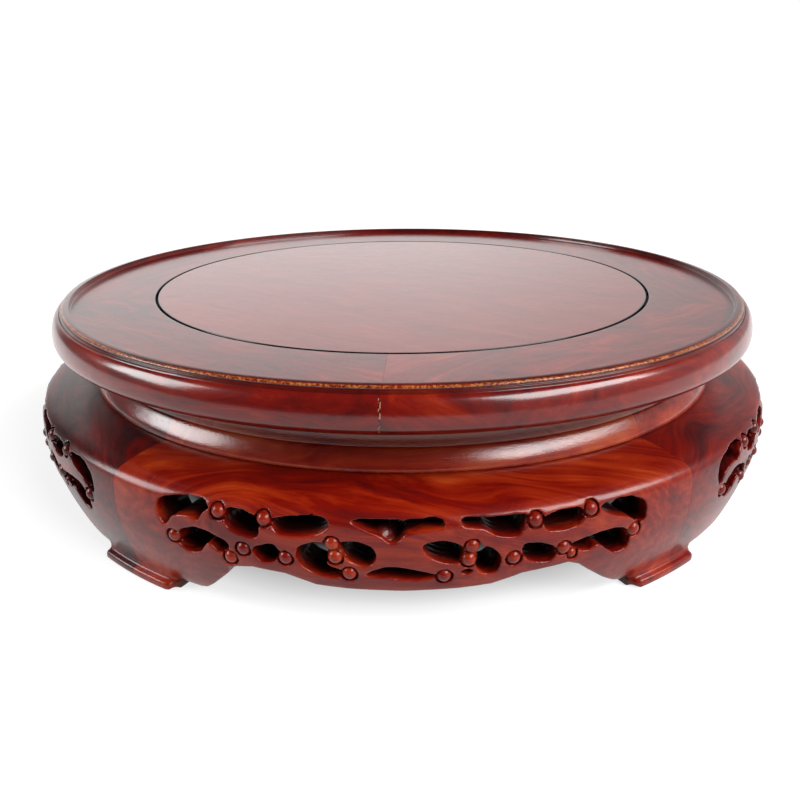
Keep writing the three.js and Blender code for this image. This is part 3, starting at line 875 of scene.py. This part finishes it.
# Seed, tone, lean, yaw and drift of each board, as far as it has them, from the front one round to the
# right, and what all boards of a kind share
RIM_JOINT_TURN = math.radians(-2.5)
PANEL_BOARD = (2, 0.58)
RIM_BOARDS = [(3, 0.50, -0.14, 0.0), (7, 0.46, 0.05, 0.1), (11, 0.46, 0.0, -0.1), (17, 0.48, 0.0, 0.1),
              (23, 0.46, 0.08, 0.0)]
WAIST_BOARDS = [(36, 0.81, -0.03, 0.0, 0.4), (37, 0.64, -0.05, 0.0), (41, 0.45, 0.0, 0.0),
                (43, 0.50, 0.0, 0.0), (47, 0.42, 0.0, 0.0)]
BASE_BOARDS = [(53, 0.62, -0.08, 0.15), (59, 0.40, 0.05, 0.1), (61, 0.50, 0.0, 0.0), (67, 0.46, 0.0, 0.1),
               (71, 0.27, 0.05, 0.0)]
PANEL_FINISH = dict(yaw=0.5, contrast=0.5, peel=0.12)
RIM_FINISH = dict(contrast=1.3, gloss=0.88)
WAIST_FINISH = dict(peel=0.6, haze=0.13)
BASE_FINISH = dict(haze=0.22, gloss=0.47)


def build_stand():
    finish_piece(panel_piece(), "centre_panel",
                 wood("panel wood", 0.0, *PANEL_BOARD, **PANEL_FINISH))
    rim = rim_section()
    waist = waist_section()
    kinds = sorted(set(zip(WINDOW_SHIFTS, FOOT_TRIMS)))
    blocks = {kind: carved_block(*kind) for kind in kinds}
    half = SEGMENT_ANGLE / 2
    for i in range(SEGMENTS):
        turn = i * SEGMENT_ANGLE
        first = turn + RIM_JOINT_TURN
        piece = ring_piece(f"rim_board_{i + 1}", rim, first, first + 2 * half, RIM_RADIUS,
                           jointed_below=PANEL_TOP - RIM_JOINT_DROP)
        finish_piece(piece, RIM_NODES[i],
                     wood(f"rim wood {i + 1}", first + half, *RIM_BOARDS[i], **RIM_FINISH))
        piece = ring_piece(f"waist_board_{i + 1}", waist, turn - half, turn + half, WAIST_RADIUS)
        finish_piece(piece, WAIST_NODES[i],
                     wood(f"waist wood {i + 1}", turn, *WAIST_BOARDS[i], **WAIST_FINISH))
        piece = base_piece(f"carved_block_{i + 1}", blocks[WINDOW_SHIFTS[i], FOOT_TRIMS[i]], turn)
        finish_piece(piece, BASE_NODES[i],
                     wood(f"base wood {i + 1}", turn, *BASE_BOARDS[i], **BASE_FINISH))
    plain = bare_wood("dowel wood")
    for name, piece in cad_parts.items():
        if name.startswith(("rim_tongue", "waist_dowel", "leg_dowel")):
            piece.data.materials.clear()
            piece.data.materials.append(plain)


# Camera, in the photograph's place
CAMERA_PLACE = (0.0, -281.25, 123.0)
CAMERA_PITCH = 0.378
CAMERA_ROLL = -0.0054
IMAGE_SIZE = 800
FOCAL_PIXELS = 734.0
CENTRE_PIXEL = 402.63
SENSOR_WIDTH = 36.0
CLIP_START = 0.01


def add_camera():
    data = bpy.data.cameras.new("camera")
    data.sensor_width = SENSOR_WIDTH
    data.lens = FOCAL_PIXELS / IMAGE_SIZE * SENSOR_WIDTH
    data.shift_x = (IMAGE_SIZE / 2 - CENTRE_PIXEL) / IMAGE_SIZE
    data.clip_start = CLIP_START
    camera = bpy.data.objects.new("camera", data)
    bpy.context.scene.collection.objects.link(camera)
    turn = Matrix.Rotation(math.pi / 2 - CAMERA_PITCH, 4, "X") @ Matrix.Rotation(CAMERA_ROLL, 4, "Z")
    camera.matrix_world = Matrix.Translation(Vector(CAMERA_PLACE) * MM) @ turn
    bpy.context.scene.camera = camera


# Studio. The floor's radius, its lift's start and end and the lamps' distance are in metres
FLOOR_RADIUS = 1.5
FLOOR_SIDES = 64
FLOOR_WHITE = 0.35
FLOOR_ROUGHNESS = 0.9
FLOOR_SHINE = 0.1
FLOOR_LIFT = 0.74
LIFT_START = 0.092
LIFT_FULL = 0.12
WHITE = (1, 1, 1, 1)

# The room's light: how strong it is in each part, and the spans over which one part passes into the
# next, as upward, backward or rightward shares of a direction of length 1
ROOM_DARK = 0.06
ROOM_SIDE = 0.40
ROOM_FADE = 0.55
ROOM_PALE = 1.15
LOW_SPAN = (0.62, 0.34)
BACK_SPAN = (0.58, 0.85)
BACK_FADE_SPAN = (0.0, 0.5)
RIGHT_SPAN = (0.20, 0.60)

# Each lamp's azimuth and elevation, its spread across and up in degrees, and its radiance
LAMP_DISTANCE = 3.0
LAMPS = {"right softbox": (60, 40, 44, 24, 14.0), "left softbox": (-84, 25, 28, 24, 11.5)}


def add_floor():
    """A white floor that gives off a little light of its own away from the stand."""
    angles = np.linspace(0, 2 * math.pi, FLOOR_SIDES, endpoint=False)
    rim = np.stack([FLOOR_RADIUS * np.cos(angles), FLOOR_RADIUS * np.sin(angles), 0 * angles], axis=1) / MM
    floor = make_object("floor", rim, [tuple(range(FLOOR_SIDES))])
    n = Nodes("floor")
    place = n.add("ShaderNodeTexCoord").outputs["Object"]
    away = n.add("ShaderNodeVectorMath", {0: place}, operation="LENGTH").outputs["Value"]
    lift = n.above(away, LIFT_START, 1 / (LIFT_FULL - LIFT_START))
    path = n.add("ShaderNodeLightPath").outputs
    seen = n.maths("ADD", path["Is Glossy Ray"], path["Is Transmission Ray"])
    seen = n.maths("ADD", seen, path["Is Camera Ray"], clamp=True)
    n.finish({"Base Color": (FLOOR_WHITE, FLOOR_WHITE, FLOOR_WHITE, 1), "Roughness": FLOOR_ROUGHNESS,
              "Specular IOR Level": FLOOR_SHINE, "Emission Color": WHITE,
              "Emission Strength": n.maths("MULTIPLY", n.maths("MULTIPLY", lift, seen), FLOOR_LIFT)})
    floor.data.materials.append(n.material)


def add_room():
    """A room that is pale low down behind the stand, and dark above and behind the camera."""
    world = bpy.data.worlds.new("room")
    bpy.context.scene.world = world
    world.use_nodes = True
    tree = world.node_tree

    def smooth_step(value, span, low=0.0, high=1.0):
        node = tree.nodes.new("ShaderNodeMapRange")
        node.interpolation_type = "SMOOTHSTEP"
        tree.links.new(value, node.inputs["Value"])
        for name, bound in zip(("From Min", "From Max", "To Min", "To Max"), (*span, low, high)):
            node.inputs[name].default_value = bound
        return node.outputs[0]

    def combine(operation, a, b, add=0.0):
        node = tree.nodes.new("ShaderNodeMath")
        node.operation = operation
        for value, socket in ((a, node.inputs[0]), (b, node.inputs[1]), (add, node.inputs[2])):
            if isinstance(value, bpy.types.NodeSocket):
                tree.links.new(value, socket)
            else:
                socket.default_value = value
        return node.outputs[0]

    direction = tree.nodes.new("ShaderNodeTexCoord").outputs["Generated"]
    split = tree.nodes.new("ShaderNodeSeparateXYZ")
    tree.links.new(direction, split.inputs[0])
    low = smooth_step(split.outputs["Z"], LOW_SPAN)
    back = smooth_step(split.outputs["Y"], BACK_SPAN)
    back = combine("MULTIPLY", back, smooth_step(split.outputs["X"], BACK_FADE_SPAN, 1.0, ROOM_FADE))
    right = smooth_step(split.outputs["X"], RIGHT_SPAN)
    pale = combine("MULTIPLY", low, combine("MAXIMUM", back, combine("MULTIPLY", right, ROOM_SIDE)))
    light = combine("MULTIPLY_ADD", pale, ROOM_PALE - ROOM_DARK, ROOM_DARK)
    seen = tree.nodes.new("ShaderNodeLightPath").outputs["Is Camera Ray"]
    background = tree.nodes["Background"]
    tree.links.new(combine("MAXIMUM", light, seen), background.inputs["Strength"])
    background.inputs["Color"].default_value = WHITE


def add_softbox(name, azimuth, elevation, across, tall, radiance):
    """A far soft lamp. Its place and its spread across and up are in degrees, seen from the stand."""
    distance = LAMP_DISTANCE
    azimuth, elevation = math.radians(azimuth), math.radians(elevation)
    flat = distance * math.cos(elevation)
    place = Vector((flat * math.sin(azimuth), -flat * math.cos(azimuth), distance * math.sin(elevation)))
    data = bpy.data.lights.new(name, "AREA")
    data.shape = "RECTANGLE"
    data.size = 2 * distance * math.tan(math.radians(across / 2))
    data.size_y = 2 * distance * math.tan(math.radians(tall / 2))
    data.energy = radiance * math.pi * data.size * data.size_y
    lamp = bpy.data.objects.new(name, data)
    lamp.visible_camera = False
    bpy.context.scene.collection.objects.link(lamp)
    lamp.location = place
    lamp.rotation_euler = place.to_track_quat("Z", "Y").to_euler()


build_stand()
add_camera()
add_floor()
add_room()
for lamp_name, lamp in LAMPS.items():
    add_softbox(lamp_name, *lamp)
bpy.context.scene.view_settings.view_transform = "Standard"
